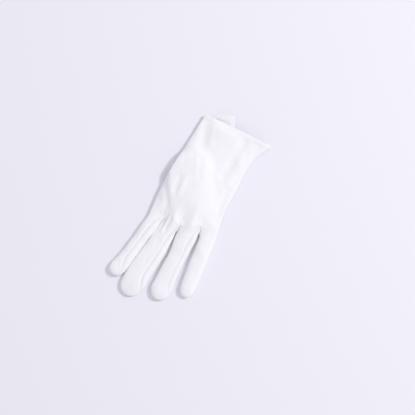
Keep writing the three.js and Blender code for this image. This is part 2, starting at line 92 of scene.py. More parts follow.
FINGERS = [
    {
        "name": "index", "base": (-34.8, -26.0), "lean": -12.6, "length": 84.5, "tip": 11, "seam": -0.2,
        "shift": [(0, 0), (28, 0.6), (52, 0.4), (73, -0.6)],
        "half": [(0, 9.2), (28, 8.1), (52, 8.2), (73, 9.6)],
    },
    {
        "name": "middle", "base": (-15.8, -30.7), "lean": -8.4, "length": 94.3, "tip": 17, "seam": 4.5,
        "shift": [(0, 0), (28, 0.8), (52, 0), (77, -0.7)],
        "half": [(0, 10.4), (28, 13.0), (52, 13.8), (77, 14.2)],
    },
    {
        "name": "ring", "base": (7.6, -26.5), "lean": -0.6, "length": 88.0, "tip": 14, "seam": 3.9,
        "shift": [(0, 0.3), (28, 0.9), (52, -0.2), (70, -0.6)],
        "half": [(0, 13.3), (28, 10.9), (52, 11.3), (70, 12.0)],
    },
    {
        "name": "little", "base": (30.8, -16.3), "lean": 2.8, "length": 83.0, "tip": 13, "seam": 9.0,
        "shift": [(0, 0.1), (16, 1.4), (40, 0.2), (66, 0.1)],
        "half": [(0, 10.5), (16, 9.2), (40, 9.5), (66, 9.0)],
    },
]
STRIPS = [f"{near['name']}_{far['name']}" for near, far in zip(FINGERS, FINGERS[1:])]
BASE_BLEND_LEFT = 14
BASE_BLEND_RIGHT = 15
SEAM_LIMIT = 0.93
LEFT_BACK_SEAM, LEFT_PALM_SEAM, LEFT_END_SEAM = np.radians([186, 226, 190])
RIGHT_PALM_SEAM, RIGHT_END_SEAM = np.radians([-14, 10])
OUTER_LEFT_SEAM, OUTER_RIGHT_SEAM = np.radians([183, -4])

# A finger's rows, counted as in the solid, at the ends of its shaft, of its side strip and of its tip
SHAFT_END = 9
STRIP_END = 11
TIP_END = 13
SEAM_BEND = 7.6
SHAFT_CROWDING = 1.5
TIP_CROWDING = 1.17
TIP_STRETCH = 1.02
TIP_WIDTH_POWER = 0.92
TIP_HEIGHT_POWER = 0.8
STRIP_STEPS = 8
DOME_STEPS = 12
ROW_PITCH = 0.92
FORK_HOLD = 0.3
HAND_RUN = 140
NEARLY_LAST = 0.996

THUMB = {
    "heel": (-27.0, 40.0), "lean": 30, "length": 50, "half": 13.2, "tip_half": 11.6, "height": 7.0,
    "mouth_long": 13.5, "mouth_wide": 9.8, "mouth_shift": 2.5, "clearance": 0.35,
}
THUMB_END_ROWS, THUMB_SHAFT_ROWS, THUMB_COLUMNS = 26, 56, 145
# Powers of the sine or cosine: the thumb's width and height towards its ends, and its section up and across
THUMB_WIDTH_POWER, THUMB_HEIGHT_POWER, THUMB_UP_POWER, THUMB_ACROSS_POWER = 0.8, 0.4, 0.5, 0.94
THUMB_SEAM_STEEPNESS = 1.2
THUMB_MOUTH_TUCK = 0.985
THUMB_MOUTH_LIFT = 0.4
LIFT_PLATEAU = 1.8
LIFT_PALM_REACH = 13.5
LIFT_BACK_REACH = 27
LIFT_BACK_SHARE = 0.78

VENT_SHARE = 0.22
VENT_END = (22, 82)
VENT_FLAP = (3.4, 124.6)
VENT_SIDE = (21, 109.7)
VENT_CURL = 4.7
VENT_CURL_REACH = 38
HAND_LENGTH = 135

# Soft folds in the back: two ends, width, depth (a negative depth is a ridge)
FOLDS = [
    (-40, 16, -26, -10, 5.5, 1.3),
    (-26, 12, -27, 30, 4.5, 1.1),
    (-20, 10, -20, 30, 5, -0.7),
    (-12, 58, -5, 38, 6, 1.1),
    (26, 98, 20, 52, 8, 1.3),
    (-24, 104, -18, 72, 10, 1.6),
    (46, 100, 34, 40, 6, 1.0),
    (33, 36, 32, 0, 8, 1.2),
    (2, 6, -6, -18, 5, 0.9),
]

# Finer creases on the back of the cloth: two ends, half width, depth
CREASES = [
    (-40, 16, -26, -10, 3.9, -0.55),
    (-41, 17, -27, -6, 1.7, 0.40),
    (-26, 12, -27, 30, 3.2, -0.50),
    (-27.7, 12.5, -28.4, 29.7, 1.3, 0.45),
    (-23.3, 11.7, -22.2, 33.7, 1.3, 0.40),
    (-12, 58, -5, 38, 4.2, -0.50),
    (33.6, 39.6, 33.4, 36.8, 3.8, -0.65),
    (2, 6, -6, -18, 3.5, -0.90),
    (-13, 8, -14, -12, 6.0, 0.45),
    (9.4, 46, 11.2, 34, 2.4, 0.20),
    (19.5, 79, 26, 62, 5.0, 0.22),
    (35, 88, 38.5, 67, 3.2, 0.30),
    (-28, 104, -16, 81, 5.0, 0.55),
    (31, 24, 37, -4, 4.0, 0.30),
    (-8, 24, -17, 4, 3.4, 0.30),
    (-34, 62, -27, 44, 3.0, 0.25),
    (-23.4, -33, -22.4, -20, 1.6, 0.85),
    (-20.6, -39, -19.7, -21, 1.7, -1.05),
    (-18.4, -36, -16.2, -21, 1.5, 0.95),
    (-16.8, -47, -10.4, -21, 2.4, -0.75),
    (-8.4, -27, -3.8, -15, 2.0, 0.70),
    (14.6, -28, 17.2, -12, 2.1, 0.40),
    (9.6, -27, 12.0, -12, 2.3, -0.30),
]

HEM_LINE = 6.3
HEM_STITCH_SHARE = 0.0475
HEM_TO_CLOTH = (5.6, 3.0)
STRIP_PUFF = 0.95
STRIP_PUFF_AT = 4.4

# Relief. A ridge is (height, half width), a ramp (start, length) and a noise (seed, wavelength)
FACING_UP, FACING_DOWN, NEAR_TIP = (-0.15, 0.5), (0.3, 0.4), (0.70, 0.22)
TIP_CALM = UNDER_CALM = 0.75
SEAM_GROOVE, SEAM_LIP, SEAM_LIP_AT = (-0.37, 1.0), (0.14, 1.3), 2.4
PUCKERS, PUCKERS_AT, PUCKER_PITCH, PUCKER_WANDER = (0.07, 1.7), 1.3, 3.3, 1.8
PUFF_START = 0.16
HEM_STEP, HEM_STEP_WIDTH, HEM_GROOVE = 0.10, 1.2, (-0.15, 0.8)
HEM_WAVES, HEM_WAVE_PITCH, HEM_WAVE_SLANT, HEM_WAVE_WANDER = (0.05, 3.0), 4.1, 0.3, 1.5
WANDER, WORN, WORN_AT = (5, 26), (25, 40), 0.2
WARP, WARP_ALONG_X, WARP_ALONG_Y = 3.0, (11, 30), (12, 34)
BROAD_HEIGHT, BROAD = 0.30, (21, 42)
RIPPLE_HEIGHT, RIPPLE, RIPPLE_STRETCH, RIPPLE_UNDER = 0.05, (22, 12), [1.5, 0.6, 1], 0.6
FINE_HEIGHT, FINE = 0.010, (23, 4.5)
WRINKLE, WRINKLES, WRINKLE_STRETCH = (-0.07, 0.2), (24, 34), [1.25, 0.7, 1]
FORK_CALM, FORK_CALM_RAMP = 0.85, (0.6, 3.6)
NOISE_HEADINGS, NOISE_SPREAD = [1, 1, 0.6], (0.65, 1.5)
# How far from a seam creases, gathers, broad waves and wrinkles come in
CREASE_IN, GATHER_IN, BROAD_IN, WRINKLE_IN = (0, 2), (0.3, 2.2), (0.5, 3), (1, 3)

# The small folds that fan out from each fork: their height, how far they reach and how many lie in a radian
GATHERS = ((0.52, 10.5, 9.0), (0.30, 9.5, 8.0), (0.20, 8.5, 7.0))
GATHER_START, GATHER_BEHIND, GATHER_SPREAD, GATHER_BEND, GATHER_TURN = 4.5, 2.5, 1.15, 0.25, 0.7

# The two folds at each finger joint, as (how far past it, height, half width), and the lengthwise flutes
JOINTS = (0.34, 0.63)
JOINT_FOLDS = ((0, -0.09, 1.9), (4.5, -0.06, 1.6))
JOINT_BOW, JOINT_BOW_PITCH = 1.6, 4.2
FLUTE, FLUTE_PITCH, FLUTE_TWIST = 0.06, 2.3, 23
FINGER_START, FINGER_SIDES = (6, 8), (-16, 4)

# How index and middle finger lean out against each other: how far, and where on their facing sides
TOUCH, TOUCH_WIDTH, TOUCH_FACING = 0.45, 19, 0.8
TOUCH_SIDE, TOUCH_START, TOUCH_END = (3, 3), (0, 60), (-78, 12)

# The thumb's own relief
THUMB_GROOVE, THUMB_LIP, THUMB_PUCKERS, THUMB_PUCKER_PITCH = (-0.40, 0.9), (0.15, 1.1), (0.14, 2.2), 3.4
THUMB_WAVE_HEIGHT, THUMB_WAVES, THUMB_FINE_HEIGHT, THUMB_FINE = 0.16, (41, 14), 0.03, (42, 4.5)
THUMB_RELIEF_RAMP = (0.4, 2)

# Where the vent lets the cuff's back edge sag: its middle, half width, length along the hand, and depth
CUFF_SAG = (-2, 24, 12, 2.8)
SEAM_ROUND, LEAST_GAP = 0.3, 0.01

# The strips' crotches: how far from one they are softened and thinned, and how much
CROTCH_FULLNESS, CROTCH_THINNING, CROTCH_SOFTENING = 0.6, 0.7, 0.5
CROTCH_REACH, CROTCH_FADE, CROTCH_ROUNDS = 9, 5, 14
CROTCH_SEAM_HOLD, CROTCH_SEAM_FULL = 1.2, 0.8

# The hem's stitches: the grids that carry them, with the first and last column, and the bow of the thread
STITCHED = (("back left", 5, -5), ("palm left", 8, -10), ("palm right", 10, -8))
STITCH_BOW, STITCH_SINK, THREAD_END = 1.5, 0.75, 0.01

# The look of the cotton: one loop of the knit, the faint tone painted into its colour (painted shade in the
# knit's hollows, random clouds and fuzz), and the bump's strength and depth in metres
LOOP_LENGTH, LOOP_LEAN, LOBE_SHARE, LEG_SHARE = 0.8, 1.25, 0.55, 0.45
CLOUD_SCALE, FUZZ_SCALE, TWIST_SCALE = 38.0, 2600.0, 3500.0
# HOLLOW_SHADE is painted shade that darkens the colour in the knit's hollows; CLOUD_SHADE and FUZZ_SHADE add
# random tone
HOLLOW_SHADE, CLOUD_SHADE, FUZZ_SHADE, FUZZ_HEIGHT = 0.35, 0.9, 0.1, 0.5
HOLLOW_SHADE_AND_CLOUD_TINT = (0.955, 0.955, 0.97)
KNIT_BUMP, THREAD_BUMP = (0.35, 0.00012), (0.3, 0.00005)
THREAD_COLOUR = (0.90, 0.90, 0.925, 1)

# The stage, in metres, and its one light
TABLE_HALF, TABLE_BELOW = 4.0, 0.0002
ROOM_COLOUR, KEY_COLOUR = (0.964, 0.955, 1.0, 1), (1.0, 0.995, 0.985)
GLOVE_MIDDLE = Vector((0.0184, 0.0097, 0.004))
KEY_AZIMUTH, KEY_ELEVATION = math.atan2(0.724, -0.689), math.radians(46)
KEY_DISTANCE, KEY_SIZE = 3.0, 0.36
SENSOR_MM, CLIP_NEAR, CLIP_FAR = 36.0, 0.01, 20.0


def mix(low, high, share):
    """The value that lies the given share of the way from low to high."""
    return low + (high - low) * share


def smooth(share):
    """0 below 0, 1 above 1, and 3 s squared - 2 s cubed between."""
    s = np.clip(share, 0, 1)
    return s * s * (3 - 2 * s)


def hump(distance):
    """(1 - distance squared) squared, and 0 from distance 1 on."""
    inside = np.maximum(0, 1 - distance * distance)
    return inside * inside


def bell(distance):
    """exp(-distance squared)."""
    return np.exp(-(distance**2))


def ridge(distance, height, half_width):
    """Height times a bell of the distance over the half width."""
    return height * bell(distance / half_width)


def ramp(value, start, length):
    """From 0 at the start to 1 a length further on."""
    return smooth((value - start) / length)


def to_plan(base, lean, across, along):
    """Plan x and y of a place across and along an axis that leans by a number of degrees from its base."""
    sine, cosine = math.sin(math.radians(lean)), math.cos(math.radians(lean))
    return base[0] + along * sine + across * cosine, base[1] - along * cosine + across * sine


def from_plan(base, lean, x, y):
    """Place across and along such an axis, from plan x and y."""
    sine, cosine = math.sin(math.radians(lean)), math.cos(math.radians(lean))
    dx, dy = x - base[0], y - base[1]
    return dx * cosine + dy * sine, dx * sine - dy * cosine


def read_table(table, at):
    """A cubic through the rows (place, value), whose slope at a row is that between the row's neighbours."""
    rows = np.asarray(table, float)
    if rows[-1, 0] < rows[0, 0]:
        rows = rows[::-1]
    place, value = rows[:, 0], rows[:, 1]
    inside = np.clip(at, place[0], place[-1])
    k = np.clip(np.searchsorted(place, inside, side="left") - 1, 0, len(place) - 2)
    ends = np.arange(len(place))
    low, high = np.maximum(ends - 1, 0), np.minimum(ends + 1, len(place) - 1)
    slope = (value[high] - value[low]) / (place[high] - place[low])
    span = place[k + 1] - place[k]
    t = (inside - place[k]) / span
    straight = mix(value[k], value[k + 1], t * t * (3 - 2 * t))
    return straight + slope[k] * span * t * (1 - t) ** 2 - slope[k + 1] * span * t * t * (1 - t)


def segment_distance(x, y, x0, y0, x1, y1):
    """Distance in plan from points to the segment between two points."""
    dx, dy = x1 - x0, y1 - y0
    t = np.clip(((x - x0) * dx + (y - y0) * dy) / (dx * dx + dy * dy), 0, 1)
    return np.hypot(x - x0 - t * dx, y - y0 - t * dy)


def thumb_lift(x, y, reach):
    """Height that the thumb below adds: its own on a plateau round its axis, then falling as a hump."""
    tip = to_plan(THUMB["heel"], THUMB["lean"], 0, THUMB["length"])
    outside = segment_distance(x, y, *THUMB["heel"], *tip) - THUMB["half"]
    fall = np.maximum(0, outside - LIFT_PLATEAU) / (reach - LIFT_PLATEAU)
    return (THUMB["height"] + THUMB["clearance"]) * hump(fall)


def lines_depth(lines, profile, x, y):
    """Sum over the lines of depth times a profile of the distance over the width."""
    return sum(depth * profile(segment_distance(x, y, *ends) / width) for *ends, width, depth in lines)


def fork_dip(x, y):
    """From 0 to 1: how far a point is inside the dip above the nearest fork."""
    dip = np.zeros(np.broadcast(x, y).shape)
    for fork in FORKS:
        fork_x, fork_y = fork["back"]
        above = np.maximum(0, y - fork_y) / FORK_DIP_LENGTH
        dip = np.maximum(dip, hump((x - fork_x) / FORK_DIP_REACH) * hump(above))
    return dip


def strip_lines(face, v, side):
    """x and y of the five lines that border the hand's four strips, at share v from cuff to fingers."""
    ys = [mix(outline[0][0], outline[-1][0], v) for outline in (LEFT_OUTLINE, RIGHT_OUTLINE)]
    xs = [read_table(LEFT_OUTLINE, ys[0]), read_table(RIGHT_OUTLINE, ys[1])]
    for k, (fork, start) in enumerate(zip(FORKS, CUFF_POINTS[face])):
        near = far = v
        bend = end = fork[face]
        if face == "palm" and k == 1:
            start, bend = VENT_FLAP if side == "left" else VENT_SIDE, VENT_END
            near = np.clip(v / VENT_SHARE, 0, 1)
            far = np.clip((v - VENT_SHARE) / (1 - VENT_SHARE), 0, 1)
        for lines, axis in ((xs, 0), (ys, 1)):
            lines.insert(k + 1, mix(start[axis], bend[axis], near) + (end[axis] - bend[axis]) * far)
    return np.stack(xs), np.stack(ys)


def hand_points(face, v, column, side="left"):
    """Points of the hand. Column runs from 0 at the left edge to 4 at the right, as an angle from 0 to half a
    turn: x goes as 1 - cosine, the back rises as a power of the sine, the palm drops to the table as one."""
    v, column = np.broadcast_arrays(np.asarray(v, float), np.asarray(column, float))
    xs, ys = strip_lines(face, v, side)
    span = xs[4] - xs[0]
    angles = np.arccos(np.clip(1 - 2 * (xs - xs[0]) / span, -1, 1))
    strip = np.minimum(np.floor(column + 1e-9).astype(int), 3)
    pick = lambda stack, k: np.take_along_axis(stack, k[None], 0)[0]
    angle = mix(pick(angles, strip), pick(angles, strip + 1), column - strip)
    x = xs[0] + span * (1 - np.cos(angle)) / 2
    low_x, high_x = pick(xs, strip), pick(xs, strip + 1)
    y = mix(pick(ys, strip), pick(ys, strip + 1), (x - low_x) / (high_x - low_x))
    bulge = np.maximum(np.sin(angle), 0)
    lift = thumb_lift(x, y, LIFT_PALM_REACH)
    if face == "back":
        rise = read_table(BACK_RISE, v) * bulge**BACK_FLATNESS
        dips = FORK_DIP_BACK * fork_dip(x, y) + lines_depth(FOLDS, hump, x, y)
        draped = LIFT_BACK_SHARE * thumb_lift(x, y, LIFT_BACK_REACH)
        z = SIDE_HEIGHT + rise - dips * np.minimum(1, bulge * SIDE_EASE_DIPS)
        z = z + mix(lift, draped, np.minimum(1, bulge * SIDE_EASE_LIFT))
        sag_x, sag_width, sag_length, sag = CUFF_SAG
        near_cuff = smooth(1 - v * HAND_LENGTH / sag_length)
        z = z - ridge(x - sag_x, sag, sag_width) * near_cuff * np.minimum(1, bulge)
    else:
        flat = np.minimum(1, bulge / SOLE_EDGE)
        raised = FORK_DIP_PALM * fork_dip(x, y)
        if side == "left":
            away = np.hypot(x - VENT_FLAP[0], y - VENT_FLAP[1]) / VENT_CURL_REACH
            raised = raised + VENT_CURL * hump(away)
        z = SIDE_HEIGHT - SIDE_HEIGHT * flat**SOLE_FLATNESS + lift + raised * flat
    return np.stack([x, y, z], -1)


def finger_section(finger, row):
    """Distance along a finger, sideways shift, half width and height share of its section at a row. The tip is
    a dome, whose sweep goes from 0 to a quarter turn."""
    shaft = finger["length"] - finger["tip"]
    closing = np.clip((row - SHAFT_END) / (TIP_END - SHAFT_END), 0, 1)
    sweep = closing**TIP_CROWDING * math.pi / 2
    along = shaft * np.minimum(row / SHAFT_END, 1) ** SHAFT_CROWDING
    along = along + finger["tip"] * TIP_STRETCH * np.sin(sweep)
    cosine = np.maximum(np.cos(sweep), 0)
    half = read_table(finger["half"], along) * cosine**TIP_WIDTH_POWER
    return along, read_table(finger["shift"], along), half, cosine**TIP_HEIGHT_POWER


def finger_points(finger, row, angle):
    """Points round a finger: across as a power of the cosine, up as one of the sine, flat below."""
    along, shift, half, height = finger_section(finger, row)
    cosine, sine = np.cos(angle), np.sin(angle)
    across = shift + half * np.sign(cosine) * np.abs(cosine) ** FINGER_FULLNESS
    x, y = to_plan(finger["base"], finger["lean"], across, along)
    top = FINGER_RISE * np.maximum(sine, 0) ** FINGER_FLATNESS
    drop = SIDE_HEIGHT * np.clip(-sine / SOLE_EDGE, 0, 1) ** SOLE_FLATNESS
    return np.stack(np.broadcast_arrays(x, y, SIDE_HEIGHT + (top - drop) * height), -1)


def seam_angles(index, row):
    """A finger's seams at a row: left on back and palm, right on back and palm. They meet at the tip."""
    finger = FINGERS[index]
    half = finger_section(finger, row)[2]
    share = np.clip(finger["seam"] / np.maximum(half, 1e-6), -SEAM_LIMIT, SEAM_LIMIT)
    left = [(LEFT_BACK_SEAM, LEFT_END_SEAM), (LEFT_PALM_SEAM, LEFT_END_SEAM)]
    right = [(np.arccos(share), RIGHT_END_SEAM), (RIGHT_PALM_SEAM, RIGHT_END_SEAM)]
    if index == 0:
        left = [(OUTER_LEFT_SEAM, OUTER_LEFT_SEAM)] * 2
    if index == len(FINGERS) - 1:
        right = [(OUTER_RIGHT_SEAM, OUTER_RIGHT_SEAM)] * 2
    taper = ramp(row, SEAM_BEND, STRIP_END - SEAM_BEND)
    return [mix(start, end, taper) for start, end in left + right]


def hand_heading(face, columns, side):
    """Unit direction in which the hand's surface runs on at its last row, towards the fingers."""
    ahead = hand_points(face, 1.0, columns, side) - hand_points(face, NEARLY_LAST, columns, side)
    return ahead / np.linalg.norm(ahead, axis=-1, keepdims=True)


def ease_from_base(finger, row, place, start, ring):
    """Rows near a finger's base turn smoothly from the hand's last row into the finger's own ring."""
    blend = mix(BASE_BLEND_LEFT, BASE_BLEND_RIGHT, place)
    share = smooth(finger_section(finger, row)[0] / blend)[..., None]
    return mix(start, ring, share)


# Where the rows and columns of the cloth lie: close at seams and edges, a millimetre or so apart elsewhere
EDGE_SHARES = [0, 0.004, 0.011, 0.022, 0.038, 0.060, 0.088]
EDGE_LEVELS = [0, 0.008, 0.022, 0.045, 0.08, 0.125]
CUFF_ROWS = [0, 0.0004, 0.0012, 0.0025, 0.0045, 0.007]


def crowd_ends(edge, middle):
    """Shares from 0 to 1, as in the list near both ends, with the middle ones between."""
    return np.concatenate([edge, middle, 1 - np.array(edge[::-1])])


STRIP_SHARES = crowd_ends(EDGE_SHARES, np.linspace(0.122, 0.878, 20))
SIDE_LEVELS = crowd_ends(EDGE_LEVELS, np.linspace(0.18, 0.82, 10))
HAND_COLUMNS = np.concatenate([k + STRIP_SHARES[:-1] for k in range(4)] + [[4.0]])
HAND_ROWS = np.unique(np.round([*CUFF_ROWS, VENT_SHARE, HEM_STITCH_SHARE, *np.linspace(0.011, 1, 145)], 6))


def finger_rows(finger):
    """Rows about a pitch apart along the shaft and evenly swept over the tip, one at the strip's end."""
    count = int(round((finger["length"] - finger["tip"]) / ROW_PITCH))
    straight = SHAFT_END * np.linspace(0, 1, count + 1) ** (1 / SHAFT_CROWDING)
    tip = TIP_END - SHAFT_END
    middle = ((STRIP_END - SHAFT_END) / tip) ** TIP_CROWDING
    sweeps = [np.linspace(0, middle, STRIP_STEPS + 1)[1:], np.linspace(middle, 1, DOME_STEPS + 1)[1:]]
    closing = SHAFT_END + tip * np.concatenate(sweeps) ** (1 / TIP_CROWDING)
    closing[STRIP_STEPS - 1] = STRIP_END
    closing[-1] = TIP_END
    return np.concatenate([straight, closing])


def run_lengths(points, axis):
    """Length along a grid's rows or columns: the distances between neighbours, added up."""
    steps = np.linalg.norm(np.diff(points, axis=axis), axis=-1)
    shape = list(points.shape[:2])
    shape[axis] = 1
    return np.concatenate([np.zeros(shape), np.cumsum(steps, axis)], axis)


class Cloth:
    """The whole skin of the glove: grids of points, welded where they meet, with the panel of each face. Its
    fields are the distances to the nearest seam and hemmed edge, the run along a seam, the distance from a
    side strip's upper seam, and the reach as a share of a finger's length."""

    FAR = 1e3
    FIELDS = ("seam", "edge", "run", "strip", "reach")
    NEAREST = ("seam", "edge", "strip")
    WELD_GRID, WELD_OFFSET = 1000, 0.137

    def __init__(self):
        self.points, self.uv, self.faces, self.panels, self.grids = [], [], [], [], {}
        self.parts = {field: [] for field in self.FIELDS}
        self.count = 0

    def add(self, name, panel, points, uv, seam, edge, run, turned=False, strip=FAR, reach=0.0):
        """Adds one grid with its pattern coordinates and fields. Turned faces look the other way."""
        rows, columns = points.shape[:2]
        index = self.count + np.arange(rows * columns).reshape(rows, columns)
        corners = [index[:-1, :-1], index[1:, :-1], index[1:, 1:], index[:-1, 1:]]
        quads = np.stack(corners, -1).reshape(-1, 4)
        self.faces.append(quads[:, ::-1] if turned else quads)
        self.panels += [panel] * len(quads)
        self.points.append(points.reshape(-1, 3))
        self.uv.append(np.stack(np.broadcast_arrays(*uv), -1).reshape(-1, 2))
        for field, values in zip(self.FIELDS, (seam, edge, run, strip, reach)):
            self.parts[field].append(np.broadcast_to(values, (rows, columns)).reshape(-1))
        self.grids[name] = index
        self.count += rows * columns

    def weld(self):
        """Joins the grids where their points coincide, and keeps the smallest distances there."""
        self.uv, self.faces = np.concatenate(self.uv), np.concatenate(self.faces)
        self.panels = np.array(self.panels)
        points = np.concatenate(self.points)
        keys = np.round(points * self.WELD_GRID + self.WELD_OFFSET).astype(np.int64)
        _, first, number = np.unique(keys, axis=0, return_index=True, return_inverse=True)
        self.weld_of = number.reshape(-1)
        self.place = points[first]
        for field, parts in self.parts.items():
            values = np.concatenate(parts)
            welded = values[first]
            if field in self.NEAREST:
                np.minimum.at(welded, self.weld_of, values)
            setattr(self, field, welded)

    def normals(self):
        """Unit normals at the welded points: the faces' diagonals crossed, summed at their corners."""
        corners = self.place[self.weld_of[self.faces]]
        crossed = np.cross(corners[:, 2] - corners[:, 0], corners[:, 3] - corners[:, 1])
        total = np.zeros_like(self.place)
        for k in range(4):
            np.add.at(total, self.weld_of[self.faces[:, k]], crossed)
        return total / np.maximum(np.linalg.norm(total, axis=1, keepdims=True), 1e-12)

    def soften(self, weights, rounds):
        """Moves points part of the way to their neighbours' mean, by the weights, a number of times."""
        edges = np.concatenate([self.weld_of[self.faces[:, [k, (k + 1) % 4]]] for k in range(4)])
        number = np.maximum(np.bincount(edges[:, 0], minlength=len(self.place)), 1)[:, None]
        for _ in range(rounds):
            total = np.zeros_like(self.place)
            np.add.at(total, edges[:, 0], self.place[edges[:, 1]])
            self.place = mix(self.place, total / number, weights[:, None])


def add_hand(cloth):
    """The hand's back as one grid, and its palm as two that meet along the vent's line."""
    v = HAND_ROWS[:, None]
    parts = (
        ("back", "left", HAND_COLUMNS),
        ("palm", "left", HAND_COLUMNS[HAND_COLUMNS <= 2]),
        ("palm", "right", HAND_COLUMNS[HAND_COLUMNS >= 2]),
    )
    for face, side, columns in parts:
        points = hand_points(face, v, columns[None, :], side)
        across, down = run_lengths(points, 1), run_lengths(points, 0)
        seam = np.full(across.shape, Cloth.FAR)
        if columns[0] == 0:
            seam = np.minimum(seam, across)
        if columns[-1] == 4:
            seam = np.minimum(seam, across[:, -1:] - across)
        for k in range(len(FORKS)):
            seam = np.minimum(seam, np.linalg.norm(points - hand_points(face, 1.0, k + 1.0), axis=-1))
        edge = down
        if face == "palm":
            slit = across[:, -1:] - across if side == "left" else across
            below = np.linalg.norm(points - hand_points("palm", VENT_SHARE, 2.0), axis=-1)
            edge = np.minimum(edge, np.where(v <= VENT_SHARE, slit, below))
        middle = int(np.argmin(np.abs(columns - 2)))
        uv = (across - across[:, middle : middle + 1], down)
        cloth.add(f"{face} {side}", f"{face}_panel", points, uv, seam, edge, down, turned=face == "palm")


def add_finger_grid(cloth, name, panel, points, uv, finger, along, turned, strip=Cloth.FAR):
    """Adds a grid of a finger, with a seam down each of its long borders."""
    across = run_lengths(points, 1)
    seam = np.minimum(across, across[:, -1:] - across)
    run, reach = along + HAND_RUN, along / finger["length"]
    cloth.add(name, panel, points, uv, seam, Cloth.FAR, run, turned=turned, strip=strip, reach=reach)


def add_fingers(cloth):
    """Each finger's back and palm, as grids that start on the hand's last row and close at the fingertip."""
    shares = STRIP_SHARES[None, :]
    for index, finger in enumerate(FINGERS):
        rows = finger_rows(finger)[:, None]
        seams = seam_angles(index, rows)
        along = finger_section(finger, rows)[0]
        inner_left = 1.0 if index == 0 else smooth(shares / FORK_HOLD)
        inner_right = 1.0 if index == len(FINGERS) - 1 else smooth((1 - shares) / FORK_HOLD)
        onward = (along * inner_left * inner_right)[..., None]
        side = "left" if index < 2 else "right"
        for face, left, right in (("back", seams[0], seams[2]), ("palm", seams[1], seams[3] + 2 * math.pi)):
            start = hand_points(face, 1.0, index + shares, side)
            start = start + onward * hand_heading(face, index + shares, side)
            ring = finger_points(finger, rows, mix(left, right, shares))
            points = ease_from_base(finger, rows, shares, start, ring)
            across = run_lengths(points, 1)
            base = hand_grid_row(cloth, face, index)
            uv = (across - across[:, -1:] / 2 + base[:, 0].mean(), run_lengths(points, 0) + base[None, :, 1])
            name, panel = f"{finger['name']} {face}", f"{face}_panel"
            add_finger_grid(cloth, name, panel, points, uv, finger, along, face == "palm")


def hand_grid_row(cloth, face, index):
    """Pattern coordinates of the hand's last row over one finger's base."""
    name, place = "back left", index
    if face == "palm":
        name, place = "palm left" if index < 2 else "palm right", index % 2
    count = len(STRIP_SHARES) - 1
    return np.concatenate(cloth.uv)[cloth.grids[name][-1, place * count : (place + 1) * count + 1]]


def add_side_strips(cloth):
    """The strips between the fingers, from one fingertip down to the crotch and up to the next."""
    t = SIDE_LEVELS[None, :]
    out = (np.sin(np.pi * t) ** CROTCH_FULLNESS)[..., None]
    for k, fork in enumerate(FORKS):
        top, bottom = hand_points("back", 1.0, k + 1.0), hand_points("palm", 1.0, k + 1.0)
        start = mix(top, bottom, t[..., None])
        sunk = mix(top[2], bottom[2], (1 - np.cos(np.pi * t)) / 2)[..., None]
        start = np.concatenate([mix(start[..., :2], np.array(fork["crotch"]), out), sunk], -1)
        for index in (k, k + 1):
            near, finger = index == k, FINGERS[index]
            rows = finger_rows(finger)
            rows = rows[rows <= STRIP_END][:, None]
            low, high = seam_angles(index, rows)[2:] if near else seam_angles(index, rows)[:2]
            ring = finger_points(finger, rows, mix(low, high, t))
            points = ease_from_base(finger, rows, float(near), start, ring)
            across, down = run_lengths(points, 1), run_lengths(points, 0)
            uv, strip = ((across, down), across) if near else ((across, -down), Cloth.FAR)
            name, panel = f"strip {k} {index}", f"fourchette_{STRIPS[k]}"
            along = finger_section(finger, rows)[0]
            add_finger_grid(cloth, name, panel, points, uv, finger, along, not near, strip)


def soft_noise(points, seed, wavelength, count=16):
    """Smooth noise with a mean square of one: a sum of cosines of the place along random directions."""
    rng = np.random.default_rng(seed)
    directions = rng.normal(size=(count, 3)) * NOISE_HEADINGS
    directions /= np.linalg.norm(directions, axis=1, keepdims=True)
    waves = directions * (2 * np.pi / wavelength * rng.uniform(*NOISE_SPREAD, (count, 1)))
    return np.cos(points @ waves.T + rng.uniform(0, 2 * np.pi, count)).sum(1) / math.sqrt(count / 2)


def fork_gathers(points):
    """Small folds that fan out from each fork: a cosine of the angle round the fork, fading outwards."""
    total = np.zeros(len(points))
    for k, (fork, (height, reach, folds)) in enumerate(zip(FORKS, GATHERS)):
        dx, dy = points[:, 0] - fork["back"][0], points[:, 1] - fork["back"][1] + GATHER_BEHIND
        away, angle = np.hypot(dx, dy), np.arctan2(dx, dy)
        fade = smooth(away / GATHER_START) * bell(away / reach) * bell((angle / GATHER_SPREAD) ** 2)
        total += height * fade * np.cos(folds * angle + GATHER_TURN * k + GATHER_BEND * np.sin(away))
    return total


